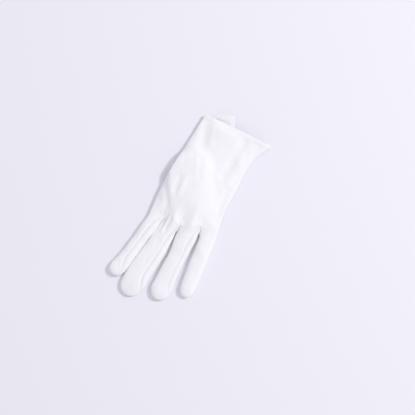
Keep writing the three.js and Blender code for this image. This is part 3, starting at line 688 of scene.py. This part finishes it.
def cloth_relief(cloth, normals):
    """Height of the cloth's relief: grooved and puckered seams, hem, creases, gathers and waves."""
    place, seam = cloth.place, cloth.seam
    x, y = place[:, 0], place[:, 1]
    from_hem = cloth.edge - HEM_LINE
    up, under = ramp(normals[:, 2], *FACING_UP), ramp(-normals[:, 2], *FACING_DOWN)
    wander = soft_noise(place, *WANDER)
    seams = ridge(seam, *SEAM_GROOVE) + ridge(seam - SEAM_LIP_AT, *SEAM_LIP)
    puckers = np.cos(2 * np.pi * cloth.run / PUCKER_PITCH + PUCKER_WANDER * wander)
    seams += puckers * ridge(seam - PUCKERS_AT, *PUCKERS)
    puff = hump((cloth.strip - STRIP_PUFF_AT) / STRIP_PUFF_AT)
    seams += STRIP_PUFF * puff * smooth(cloth.reach / PUFF_START)
    relief = seams * (1 - TIP_CALM * ramp(cloth.reach, *NEAR_TIP))
    relief += HEM_STEP * smooth(-from_hem / HEM_STEP_WIDTH) + ridge(from_hem, *HEM_GROOVE)
    hem_waves = np.cos(2 * np.pi * (x + HEM_WAVE_SLANT * y) / HEM_WAVE_PITCH + HEM_WAVE_WANDER * wander)
    relief += hem_waves * ridge(from_hem, *HEM_WAVES)
    relief -= lines_depth(CREASES, bell, x, y) * up * ramp(seam, *CREASE_IN)
    relief += fork_gathers(place) * up * ramp(seam, *GATHER_IN)
    warp = [soft_noise(place, *WARP_ALONG_X), soft_noise(place, *WARP_ALONG_Y), 0 * x]
    warped = place + WARP * np.stack(warp, -1)
    relief += BROAD_HEIGHT * soft_noise(warped, *BROAD) * up * ramp(seam, *BROAD_IN)
    relief += RIPPLE_HEIGHT * soft_noise(warped * RIPPLE_STRETCH, *RIPPLE) * mix(RIPPLE_UNDER, 1, up)
    relief += FINE_HEIGHT * soft_noise(place, *FINE)
    lines = soft_noise(warped * WRINKLE_STRETCH, *WRINKLES)
    worn = smooth(WORN_AT + (1 - WORN_AT) * soft_noise(place, *WORN))
    relief += ridge(lines, *WRINKLE) * worn * up * ramp(seam, *WRINKLE_IN)
    relief += finger_relief(cloth, normals, up)
    for corner in ("back", "palm", "crotch"):
        for fork in FORKS:
            away = np.hypot(x - fork[corner][0], y - fork[corner][1])
            relief *= 1 - FORK_CALM + FORK_CALM * ramp(away, *FORK_CALM_RAMP)
    return relief * (1 - UNDER_CALM * under)


def finger_relief(cloth, normals, up):
    """Soft cross folds where the finger joints bend, faint lengthwise flutes, and index and middle finger
    leaning out against each other."""
    relief = np.zeros(len(cloth.place))
    touching = np.zeros(len(cloth.place))
    for index, finger in enumerate(FINGERS):
        across, along = from_plan(finger["base"], finger["lean"], *cloth.place[:, :2].T)
        on = ramp(along, *FINGER_START) * ramp(-np.abs(across), *FINGER_SIDES)
        for k, joint in enumerate(JOINTS):
            bow = JOINT_BOW * np.sin(across / JOINT_BOW_PITCH + index + 2 * k)
            for past, height, half_width in JOINT_FOLDS:
                relief += ridge(along - joint * finger["length"] - bow - past, height, half_width) * on
        relief += FLUTE * np.cos(across / FLUTE_PITCH + along / FLUTE_TWIST + 2 * index) * on
        if index < 2:
            sign = 1 - 2 * index
            facing = from_plan((0, 0), finger["lean"], *normals[:, :2].T)[0] * sign
            beside = ramp(across * sign, *TOUCH_SIDE) * (np.abs(across) < TOUCH_WIDTH) * (cloth.reach > 0)
            length = ramp(along, *TOUCH_START) * ramp(-along, *TOUCH_END)
            touching += TOUCH * smooth(facing / TOUCH_FACING) * beside * length
    return relief * up + touching


def oval_place(points):
    """Points' share of the oval mouth's radius, and how far across and behind its middle they lie."""
    across, along = from_plan(THUMB["heel"], THUMB["lean"], points[:, 0], points[:, 1])
    behind = THUMB["mouth_shift"] - along
    return np.hypot(across / THUMB["mouth_wide"], behind / THUMB["mouth_long"]), across, behind


def cut_mouth(cloth, chosen, share):
    """Opens the thumb's oval mouth: the chosen faces inside it go, and the points on the cut, which are
    returned, move straight out from its middle onto the oval, scaled by the share."""
    corners = cloth.weld_of[cloth.faces]
    ratio, across, behind = oval_place(cloth.place)
    inside = (ratio[corners].mean(1) < 1) & chosen
    cut = np.intersect1d(corners[inside], corners[~inside])
    scale = share / ratio[cut]
    along = THUMB["mouth_shift"] - behind[cut] * scale
    cloth.place[cut, :2] = np.stack(to_plan(THUMB["heel"], THUMB["lean"], across[cut] * scale, along), -1)
    cloth.faces, cloth.panels = cloth.faces[~inside], cloth.panels[~inside]
    return cut


def smooth_crotches(cloth):
    """Evens out and thins the side strips where they meet between two fingers, but not at their seams."""
    strips = np.char.startswith(cloth.panels.astype(str), "fourchette")
    inside = np.zeros(len(cloth.place))
    inside[np.unique(cloth.weld_of[cloth.faces[strips]])] = 1
    near = np.zeros(len(cloth.place))
    for fork in FORKS:
        away = segment_distance(cloth.place[:, 0], cloth.place[:, 1], *fork["back"], *fork["crotch"])
        near = np.maximum(near, smooth((CROTCH_REACH - away) / CROTCH_FADE))
    cloth.soften(CROTCH_SOFTENING * inside * near * smooth(cloth.seam / CROTCH_SEAM_HOLD), CROTCH_ROUNDS)
    cloth.fullness = 1 - CROTCH_THINNING * inside * near * smooth(cloth.seam / CROTCH_SEAM_FULL)


MADE = {}


def glove_cloth():
    """The welded skin with its relief pressed in, made once."""
    if "cloth" not in MADE:
        cloth = Cloth()
        add_hand(cloth)
        add_fingers(cloth)
        add_side_strips(cloth)
        cloth.weld()
        cut_mouth(cloth, cloth.panels == "palm_panel", 1.0)
        smooth_crotches(cloth)
        normals = cloth.normals()
        cloth.place = cloth.place + normals * cloth_relief(cloth, normals)[:, None]
        cloth.place[:, 2] = np.maximum(cloth.place[:, 2], 0)
        cloth.normal = cloth.normals()
        MADE["cloth"] = cloth
    return MADE["cloth"]


def border_edges(faces):
    """Directed edges of faces that only one face uses, with the corner numbers that hold them."""
    start, end = faces, np.roll(faces, -1, axis=1)
    pairs = np.stack([start.ravel(), end.ravel()], -1)
    real = pairs[:, 0] != pairs[:, 1]
    low, high = pairs.min(1), pairs.max(1)
    _, number, times = np.unique(low * (faces.max() + 1) + high, return_inverse=True, return_counts=True)
    return np.flatnonzero((times[number.reshape(-1)] == 1) & real), pairs


def clean_faces(faces, uv):
    """Splits faces into true quads and triangles, leaving out those that have collapsed to a line."""
    same = np.stack([faces[:, k] == faces[:, (k + 1) % 4] for k in range(4)])
    doubles = same.sum(0)
    triangles, triangle_uv = [], []
    for k in range(4):
        chosen = (doubles == 1) & same[k]
        order = [(k + 1) % 4, (k + 2) % 4, (k + 3) % 4]
        triangles.append(faces[chosen][:, order])
        triangle_uv.append(uv[chosen][:, order])
    return faces[doubles == 0], uv[doubles == 0], np.concatenate(triangles), np.concatenate(triangle_uv)


def mesh_piece(name, points, faces, uv, material):
    """A mesh object from points in millimetres, faces of four corners and their pattern coordinates."""
    keys = np.round(points * POINTS_PER_MM).astype(np.int64)
    _, first, number = np.unique(keys, axis=0, return_index=True, return_inverse=True)
    quads, quad_uv, triangles, triangle_uv = clean_faces(number.reshape(-1)[faces], uv)
    mesh = bpy.data.meshes.new(name)
    mesh.from_pydata((points[first] * MM).tolist(), [], quads.tolist() + triangles.tolist())
    layer = mesh.uv_layers.new(name="cloth")
    flat = np.concatenate([quad_uv.reshape(-1, 2), triangle_uv.reshape(-1, 2)]) * UV_PER_MM
    layer.data.foreach_set("uv", flat.astype(np.float32).ravel())
    mesh.polygons.foreach_set("use_smooth", np.ones(len(mesh.polygons), bool))
    mesh.update()
    mesh.materials.append(material)
    piece = bpy.data.objects.new(name, mesh)
    bpy.context.scene.collection.objects.link(piece)
    return piece


def shell_piece(name, outer, inner, faces, uv):
    """Closed cloth: the outer faces, the same faces inside, and a rim where their borders lie apart."""
    held, pairs = border_edges(faces)
    apart = np.linalg.norm(outer - inner, axis=1) > LEAST_GAP
    held = held[apart[pairs[held]].any(1)]
    a, b = pairs[held].T
    count = len(outer)
    rims = np.stack([b, a, a + count, b + count], -1)
    here, ahead = uv.reshape(-1, 2)[held], np.roll(uv, -1, axis=1).reshape(-1, 2)[held]
    rim_uv = np.stack([ahead, here, here, ahead], 1)
    points = np.concatenate([outer, inner]) + TABLE_TO_PART
    every_face = np.concatenate([faces, faces[:, ::-1] + count, rims])
    return mesh_piece(name, points, every_face, np.concatenate([uv, uv[:, ::-1], rim_uv]), cotton_knit())


def edge_drop(distance, radius):
    """How far a rounded edge falls below the surface: a quarter circle of the radius, ending at the edge."""
    inside = np.clip(radius - distance, 0, radius)
    return radius - np.sqrt(np.maximum(radius * radius - inside * inside, 0))


def panel_piece(panel, name):
    """A panel as closed cloth: its outer face and the same face a thickness inside, with rounded edges."""
    settings = bpy.context.scene.glove_cloth
    cloth = glove_cloth()
    chosen = cloth.panels == panel
    if not chosen.any():
        raise RuntimeError(f"the cloth has no panel named {panel}")
    corners = cloth.faces[chosen]
    welded = cloth.weld_of[corners]
    used, local = np.unique(welded, return_inverse=True)
    place, normal, edge = cloth.place[used], cloth.normal[used], cloth.edge[used]
    thick = mix(settings.hem_thickness / MM, settings.thickness / MM, ramp(edge, *HEM_TO_CLOTH))
    thick = thick * cloth.fullness[used]
    drop = np.maximum(edge_drop(edge, thick / 2), edge_drop(cloth.seam[used], thick * SEAM_ROUND))
    outer = place - normal * drop[:, None]
    inner = place - normal * (thick - drop)[:, None]
    outer[:, 2] = np.maximum(outer[:, 2], 0)
    return shell_piece(name, outer, inner, local.reshape(welded.shape), cloth.uv[corners])


def thumb_piece(name):
    """The thumb's flattened bag: a long oval swept from heel to tip, boxy in section, open at its mouth."""
    end = np.linspace(0, np.pi / 2, THUMB_END_ROWS)
    sweep = np.concatenate([-end[::-1], np.zeros(THUMB_SHAFT_ROWS), end])[:, None]
    between = np.linspace(0, 1, THUMB_SHAFT_ROWS + 2)[1:-1]
    shaft = np.concatenate([np.zeros_like(end), between, np.ones_like(end)])[:, None]
    angle = np.linspace(0, 2 * np.pi, THUMB_COLUMNS)[None, :]
    sine, cosine = np.sin(angle), np.cos(angle)
    radius = mix(THUMB["half"], THUMB["tip_half"], shaft)
    along = THUMB["length"] * shaft + radius * np.sin(sweep)
    closing = np.maximum(np.cos(sweep), 0)
    half = radius * closing**THUMB_WIDTH_POWER
    middle = THUMB["height"] / 2
    z = middle + middle * closing**THUMB_HEIGHT_POWER * np.sign(sine) * np.abs(sine) ** THUMB_UP_POWER
    across = half * np.sign(cosine) * np.abs(cosine) ** THUMB_ACROSS_POWER
    x, y = to_plan(THUMB["heel"], THUMB["lean"], across, along)
    points = np.stack(np.broadcast_arrays(x, y, z), -1)
    bag = Cloth()
    side = np.abs(sine) * half * THUMB_SEAM_STEEPNESS
    uv = (run_lengths(points, 1), run_lengths(points, 0))
    bag.add("bag", "thumb", points, uv, side, Cloth.FAR, along, turned=True)
    bag.weld()
    top = bag.place[bag.weld_of[bag.faces], 2].mean(1) > middle
    cut = cut_mouth(bag, top, THUMB_MOUTH_TUCK)
    relief = ridge(bag.seam, *THUMB_GROOVE) + ridge(bag.seam - SEAM_LIP_AT, *THUMB_LIP)
    relief += np.cos(2 * np.pi * bag.run / THUMB_PUCKER_PITCH) * ridge(bag.seam, *THUMB_PUCKERS)
    waves = THUMB_WAVE_HEIGHT * soft_noise(bag.place, *THUMB_WAVES)
    waves += THUMB_FINE_HEIGHT * soft_noise(bag.place, *THUMB_FINE)
    relief = (relief - np.abs(waves)) * ramp(bag.place[:, 2], *THUMB_RELIEF_RAMP)
    bag.place = bag.place + bag.normals() * relief[:, None]
    bag.place[:, 2] = np.clip(bag.place[:, 2], 0, THUMB["height"])
    bag.place[cut, 2] = THUMB["height"] + THUMB["clearance"] + THUMB_MOUTH_LIFT
    normal = bag.normals()
    normal[cut] = [0, 0, 1]
    inner = bag.place - normal * (bpy.context.scene.glove_cloth.thickness / MM)
    return shell_piece(name, bag.place, inner, bag.weld_of[bag.faces], bag.uv[bag.faces])


def stitch_row(path, normal, pitch, length, radius, sides=6, rings=7):
    """Points and faces of a row of stitches: each is a short bowed thread whose ends dive into the cloth, a
    circle carried along a half sine wave."""
    steps = np.concatenate([[0], np.cumsum(np.linalg.norm(np.diff(path, axis=0), axis=1))])
    count = int((steps[-1] - 2 * length) / pitch)
    starts = length / 2 + pitch * np.arange(count)
    s = np.linspace(0, 1, rings)
    where = starts[:, None] + length * s[None, :]
    centre, up = (
        np.stack([np.interp(where, steps, values[:, k]) for k in range(3)], -1) for values in (path, normal)
    )
    up /= np.linalg.norm(up, axis=-1, keepdims=True)
    centre = centre + up * (radius * (STITCH_BOW * np.sin(np.pi * s) - STITCH_SINK))[None, :, None]
    ahead = np.gradient(centre, axis=1)
    ahead /= np.linalg.norm(ahead, axis=-1, keepdims=True)
    aside = np.cross(ahead, up)
    up = np.cross(aside, ahead)
    turn = np.linspace(0, 2 * np.pi, sides, endpoint=False)
    size = radius * np.sqrt(np.maximum(np.sin(np.pi * s), 0)) + THREAD_END
    ring = np.cos(turn)[:, None] * aside[..., None, :] + np.sin(turn)[:, None] * up[..., None, :]
    points = centre[..., None, :] + ring * size[None, :, None, None]
    index = np.arange(count * rings * sides).reshape(count, rings, sides)
    beside = np.roll(index, -1, axis=2)
    faces = np.stack([index[:, :-1], beside[:, :-1], beside[:, 1:], index[:, 1:]], -1).reshape(-1, 4)
    halves = [[0, 1, 2, 3], [0, 3, 4, 5]]
    caps = [index[:, 0][:, half[::-1]] for half in halves] + [index[:, -1][:, half] for half in halves]
    return points.reshape(-1, 3), np.concatenate([faces, *caps])


def hem_stitches(name):
    """The stitching that holds the hem: rows of short threads on the back and on both halves of the palm."""
    settings = bpy.context.scene.glove_cloth
    sizes = (settings.stitch_pitch / MM, settings.stitch_length / MM, settings.thread_width / MM / 2)
    cloth = glove_cloth()
    row = int(np.argmin(np.abs(HAND_ROWS - HEM_STITCH_SHARE)))
    points, faces = np.zeros((0, 3)), np.zeros((0, 4), int)
    for grid, first, last in STITCHED:
        line = cloth.weld_of[cloth.grids[grid][row, first:last]]
        row_points, row_faces = stitch_row(cloth.place[line], cloth.normal[line], *sizes)
        faces = np.concatenate([faces, row_faces + len(points)])
        points = np.concatenate([points, row_points])
    points[:, 2] = np.maximum(points[:, 2], 0)
    return mesh_piece(name, points + TABLE_TO_PART, faces, np.zeros(faces.shape + (2,)), sewing_thread())


class Value:
    """A number that varies over the surface: wraps a shader socket, so that sums on it add Math nodes."""

    def __init__(self, tree, socket):
        self.tree, self.socket = tree, socket

    def _math(self, operation, *values):
        node = self.tree.nodes.new("ShaderNodeMath")
        node.operation = operation
        for k, value in enumerate(values):
            if isinstance(value, Value):
                self.tree.links.new(value.socket, node.inputs[k])
            else:
                node.inputs[k].default_value = value
        return Value(self.tree, node.outputs[0])

    def __add__(self, other):
        return self._math("ADD", self, other)

    def __sub__(self, other):
        return self._math("SUBTRACT", self, other)

    def __rsub__(self, other):
        return self._math("SUBTRACT", other, self)

    def __mul__(self, other):
        return self._math("MULTIPLY", self, other)

    def __truediv__(self, other):
        return self._math("DIVIDE", self, other)

    def cosine(self):
        return self._math("COSINE", self)

    def fraction(self):
        return self._math("FRACT", self)

    def size(self):
        return self._math("ABSOLUTE", self)


class Shader:
    """A material's node tree, with one method that adds any node, from its type, settings and sockets."""

    def __init__(self, name):
        self.material = bpy.data.materials.new(name)
        self.material.use_nodes = True
        self.tree = self.material.node_tree
        self.tree.nodes.clear()

    def node(self, kind, settings=None, **sockets):
        """Adds a node. A socket is given by its name, or by its number after an i."""
        node = self.tree.nodes.new(kind)
        for key, value in (settings or {}).items():
            setattr(node, key, value)
        for key, value in sockets.items():
            numbered = key[0] == "i" and key[1:].isdigit()
            socket = node.inputs[int(key[1:]) if numbered else key.replace("_", " ")]
            if isinstance(value, Value):
                value = value.socket
            if isinstance(value, bpy.types.NodeSocket):
                self.tree.links.new(value, socket)
            else:
                socket.default_value = value
        return node

    def value(self, socket):
        return Value(self.tree, socket)

    def noise(self, scale, detail=2.0):
        """Noise over the Object coordinates."""
        place = self.node("ShaderNodeTexCoord").outputs["Object"]
        made = self.node("ShaderNodeTexNoise", Vector=place, Scale=scale, Detail=detail)
        return self.value(made.outputs[0])

    def colours(self, share, low, high):
        mixer = self.node("ShaderNodeMix", {"data_type": "RGBA"}, i0=share, i6=(*low, 1), i7=(*high, 1))
        return mixer.outputs[2]

    def bump(self, height, strength, distance):
        return self.node("ShaderNodeBump", i0=strength, i1=distance, Height=height).outputs[0]

    def finish(self, **sockets):
        surface = self.node("ShaderNodeBsdfPrincipled", **sockets)
        self.node("ShaderNodeOutputMaterial", Surface=surface.outputs[0])
        return self.material


def cotton_knit():
    """White cotton in a fine plain knit: leaning loops in columns along the glove, with painted shade in the
    loops' hollows, faintly clouded.
    """
    if "cotton" not in MADE:
        settings = bpy.context.scene.glove_cloth
        shader = Shader("white_cotton_knit")
        uv = shader.node("ShaderNodeUVMap", {"uv_map": "cloth"})
        split = shader.node("ShaderNodeSeparateXYZ", Vector=uv.outputs[0])
        u, v = shader.value(split.outputs[0]), shader.value(split.outputs[1])
        pitch = settings.knit_pitch / MM * UV_PER_MM
        column = ((u / pitch).fraction() - 0.5).size()
        loop = (v / (pitch * LOOP_LENGTH) + column * LOOP_LEAN) * (2 * math.pi)
        lobe = loop.cosine() * 0.5 + 0.5
        leg = 1 - (column * 4 - 1) * (column * 4 - 1)
        height = lobe * LOBE_SHARE + leg * LEG_SHARE
        cloud, fuzz = shader.noise(CLOUD_SCALE, 3.0), shader.noise(FUZZ_SCALE)
        # Painted shade: the colour darkens in the knit's hollows, where shade falls; the clouds and fuzz add
        # random tone.
        painted_shade_and_clouds = (1 - height) * HOLLOW_SHADE + (cloud - 0.5) * CLOUD_SHADE + fuzz * FUZZ_SHADE
        white = tuple(settings.colour)
        MADE["cotton"] = shader.finish(
            Base_Color=shader.colours(painted_shade_and_clouds, white, tuple(c * k for c, k in zip(white, HOLLOW_SHADE_AND_CLOUD_TINT))),
            Roughness=0.95,
            Sheen_Weight=0.25,
            Sheen_Roughness=0.6,
            Specular_IOR_Level=0.18,
            Normal=shader.bump(height + fuzz * FUZZ_HEIGHT, *KNIT_BUMP),
        )
    return MADE["cotton"]


def sewing_thread():
    """White cotton sewing thread: a fine twist along its length."""
    shader = Shader("white_sewing_thread")
    twist = shader.bump(shader.noise(TWIST_SCALE), *THREAD_BUMP)
    return shader.finish(Base_Color=THREAD_COLOUR, Roughness=0.8, Specular_IOR_Level=0.3, Normal=twist)


def table_top():
    """Plain pale matt table top."""
    colour = (*bpy.context.scene.glove_stage.floor_colour, 1)
    return Shader("pale_table_top").finish(Base_Color=colour, Roughness=0.9, Specular_IOR_Level=0.1)


def settle(piece, *nodes):
    """Lets a finished piece ride on the glove and stand for its solids."""
    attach(piece, "root")
    if nodes:
        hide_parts(*nodes)
    return piece


class GloveClothSettings(bpy.types.PropertyGroup):
    """Sizes and colour of the glove's cloth and stitches."""

    thickness: FloatProperty(
        name="Cloth thickness", description="Thickness of the knitted cotton", default=0.0011, unit="LENGTH"
    )
    hem_thickness: FloatProperty(
        name="Hem thickness", description="Thickness of the folded hem", default=0.0018, unit="LENGTH"
    )
    knit_pitch: FloatProperty(
        name="Knit pitch", description="Distance between columns of loops", default=0.00085, unit="LENGTH"
    )
    stitch_pitch: FloatProperty(
        name="Stitch pitch", description="Distance between stitches", default=0.0031, unit="LENGTH"
    )
    stitch_length: FloatProperty(
        name="Stitch length", description="Length of a hem stitch", default=0.0023, unit="LENGTH"
    )
    thread_width: FloatProperty(
        name="Thread width", description="Thickness of the sewing thread", default=0.00036, unit="LENGTH"
    )
    colour: FloatVectorProperty(
        name="Cotton", description="Colour of the cotton", default=(0.927, 0.921, 0.953), subtype="COLOR"
    )


class GloveStageSettings(bpy.types.PropertyGroup):
    """Camera, table and light round the glove."""

    azimuth: FloatProperty(
        name="Azimuth", description="Camera's way round", default=math.radians(23.6), subtype="ANGLE"
    )
    elevation: FloatProperty(
        name="Elevation", description="Camera's height above level", default=math.radians(84), subtype="ANGLE"
    )
    distance: FloatProperty(
        name="Camera distance", description="Distance from camera to glove", default=0.968, unit="LENGTH"
    )
    lens: FloatProperty(name="Lens", description="Focal length of the camera in millimetres", default=70.0)
    floor_colour: FloatVectorProperty(
        name="Table", description="Colour of the table top", default=(0.865, 0.857, 0.918), subtype="COLOR"
    )
    sky: FloatProperty(name="Room light", description="Strength of the even light of the room", default=0.722)
    key_power: FloatProperty(
        name="Key light", description="Power of the soft light from the right", default=36.2, unit="POWER"
    )


class GLOVE_OT_back_panel(bpy.types.Operator):
    """Make the back of the hand with the backs of the fingers"""

    bl_idname = "glove.back_panel"
    bl_label = "Back panel"

    def execute(self, context):
        settle(panel_piece("back_panel", "back_cloth"), "back_panel")
        return {"FINISHED"}


class GLOVE_OT_palm_panel(bpy.types.Operator):
    """Make the palm with the fronts of the fingers and the vent"""

    bl_idname = "glove.palm_panel"
    bl_label = "Palm panel"

    def execute(self, context):
        settle(panel_piece("palm_panel", "palm_cloth"), "palm_panel")
        return {"FINISHED"}


class GLOVE_OT_side_strips(bpy.types.Operator):
    """Make the three side strips between the fingers"""

    bl_idname = "glove.side_strips"
    bl_label = "Side strips"

    def execute(self, context):
        for strip in STRIPS:
            settle(panel_piece(f"fourchette_{strip}", f"side_strip_{strip}"), f"fourchette_{strip}")
        return {"FINISHED"}


class GLOVE_OT_thumb(bpy.types.Operator):
    """Make the thumb, tucked under the palm"""

    bl_idname = "glove.thumb"
    bl_label = "Thumb"

    def execute(self, context):
        settle(thumb_piece("thumb_cloth"), "thumb")
        return {"FINISHED"}


class GLOVE_OT_stitches(bpy.types.Operator):
    """Sew the hem with rows of short stitches"""

    bl_idname = "glove.stitches"
    bl_label = "Hem stitches"

    def execute(self, context):
        settle(hem_stitches("hem_stitches"))
        return {"FINISHED"}


class GLOVE_OT_stage(bpy.types.Operator):
    """Set up the table top, the soft light and the camera"""

    bl_idname = "glove.stage"
    bl_label = "Stage"

    def execute(self, context):
        scene, settings = context.scene, context.scene.glove_stage
        scene.view_settings.view_transform = "Standard"
        scene.view_settings.look = "None"
        mesh = bpy.data.meshes.new("table_top")
        ways = ((-1, -1), (1, -1), (1, 1), (-1, 1))
        corners = [(x * TABLE_HALF, y * TABLE_HALF, -TABLE_BELOW) for x, y in ways]
        mesh.from_pydata(corners, [], [(0, 1, 2, 3)])
        mesh.materials.append(table_top())
        floor = bpy.data.objects.new("table_top", mesh)
        scene.collection.objects.link(floor)
        world = bpy.data.worlds.new("room")
        world.use_nodes = True
        background = world.node_tree.nodes["Background"]
        background.inputs[0].default_value = ROOM_COLOUR
        background.inputs[1].default_value = settings.sky
        scene.world = world
        light = bpy.data.lights.new("key_light", "AREA")
        light.size, light.energy, light.color = KEY_SIZE, settings.key_power, KEY_COLOUR
        face_glove("key_light", light, KEY_AZIMUTH, KEY_ELEVATION, KEY_DISTANCE)
        lens = bpy.data.cameras.new("camera")
        lens.lens, lens.sensor_width = settings.lens, SENSOR_MM
        lens.clip_start, lens.clip_end = CLIP_NEAR, CLIP_FAR
        scene.camera = face_glove("camera", lens, settings.azimuth, settings.elevation, settings.distance)
        return {"FINISHED"}


def face_glove(name, data, azimuth, elevation, distance):
    """A lamp or camera that faces the glove's middle, from two angles and a distance."""
    level = math.cos(elevation)
    away = Vector((math.sin(azimuth) * level, -math.cos(azimuth) * level, math.sin(elevation)))
    item = bpy.data.objects.new(name, data)
    item.location = GLOVE_MIDDLE + away * distance
    item.rotation_mode = "QUATERNION"
    item.rotation_quaternion = (-away).to_track_quat("-Z", "Y")
    bpy.context.scene.collection.objects.link(item)
    return item


STEPS = ("back_panel", "palm_panel", "side_strips", "thumb", "stitches", "stage")


class GLOVE_PT_panel(bpy.types.Panel):
    """Sidebar panel that lists the glove's settings and steps"""

    bl_idname = "GLOVE_PT_panel"
    bl_label = "Cotton dress glove"
    bl_space_type = "VIEW_3D"
    bl_region_type = "UI"
    bl_category = "Glove"

    def draw(self, context):
        for group in (context.scene.glove_cloth, context.scene.glove_stage):
            box = self.layout.box()
            for key in group.bl_rna.properties.keys():
                if key not in ("rna_type", "name"):
                    box.prop(group, key)
        for step in STEPS:
            self.layout.operator(f"glove.{step}")


CLASSES = (
    GloveClothSettings,
    GloveStageSettings,
    GLOVE_OT_back_panel,
    GLOVE_OT_palm_panel,
    GLOVE_OT_side_strips,
    GLOVE_OT_thumb,
    GLOVE_OT_stitches,
    GLOVE_OT_stage,
    GLOVE_PT_panel,
)


def register():
    for item in CLASSES:
        bpy.utils.register_class(item)
    bpy.types.Scene.glove_cloth = PointerProperty(type=GloveClothSettings)
    bpy.types.Scene.glove_stage = PointerProperty(type=GloveStageSettings)


def unregister():
    del bpy.types.Scene.glove_stage
    del bpy.types.Scene.glove_cloth
    for item in reversed(CLASSES):
        bpy.utils.unregister_class(item)


def main():
    """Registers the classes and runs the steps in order."""
    register()
    for step in STEPS:
        getattr(bpy.ops.glove, step)()


if __name__ == "__main__":
    main()
